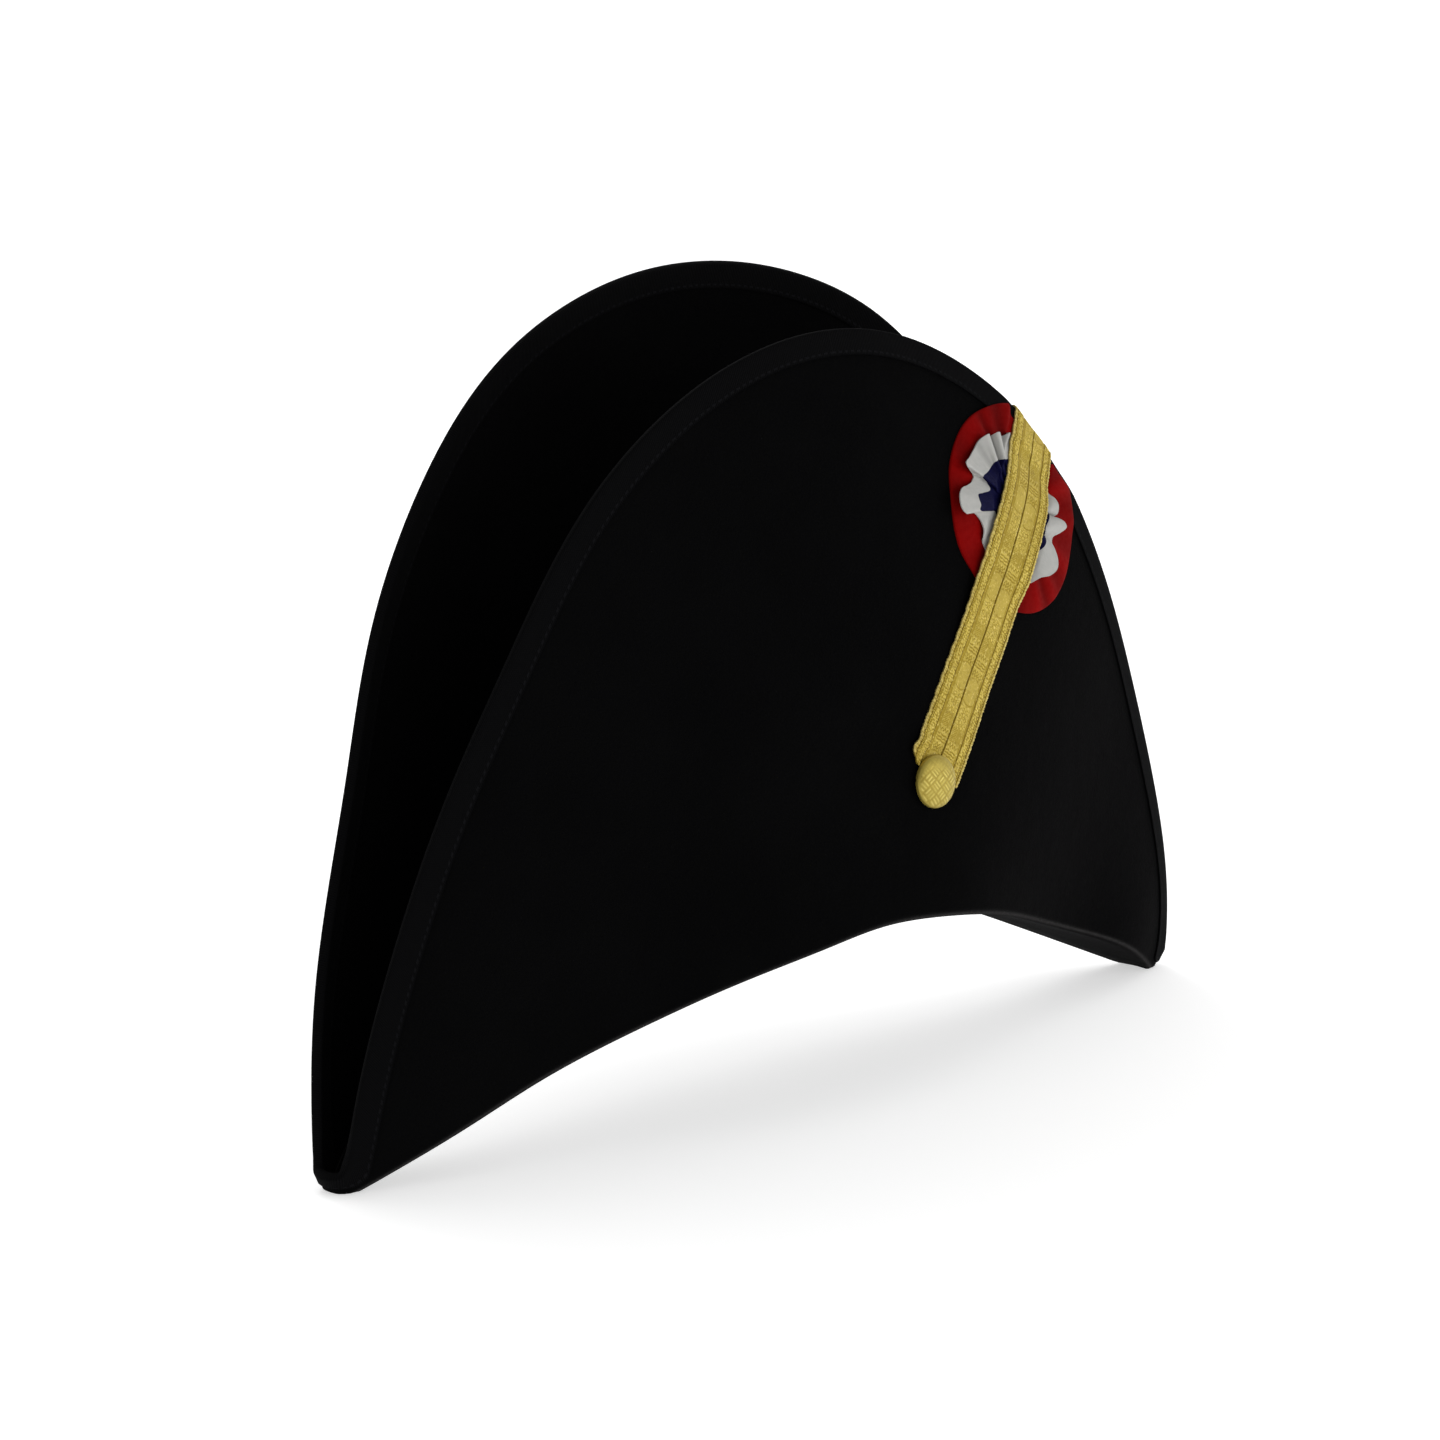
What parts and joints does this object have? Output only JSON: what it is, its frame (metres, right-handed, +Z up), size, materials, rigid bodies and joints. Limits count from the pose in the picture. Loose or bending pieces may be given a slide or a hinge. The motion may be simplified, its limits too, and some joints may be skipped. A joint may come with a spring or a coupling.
{
  "type": "bicorne hat",
  "caption": "Felt bicorne hat with two upturned flaps, a bound edge, a tricolour cockade held by gold lace, and a domed gold button.",
  "frame": {"origin": "on the surface that the hat stands on, midway between its two points and midway between its front and back", "axes": "+X from the wearer's right point to the left point, the front flap faces -Y, +Z up"},
  "size_m": [0.448, 0.1501, 0.3167],
  "materials": {
    "felt": "matt wool felt",
    "binding": "ribbed ribbon with a slight sheen",
    "ribbon_red": "gathered satin ribbon",
    "ribbon_white": "finely ribbed ribbon",
    "ribbon_blue": "finely ribbed ribbon",
    "gold_lace": "woven metallic thread",
    "button_brass": "patterned, satin gilt"
  },
  "bodies": {
    "root": {"felt_body": "felt", "edge_binding": "binding", "cockade_red": "ribbon_red", "cockade_white": "ribbon_white", "cockade_blue": "ribbon_blue", "gold_lace_left": "gold_lace", "gold_lace_right": "gold_lace", "button": "button_brass"}
  },
  "joints": []
}
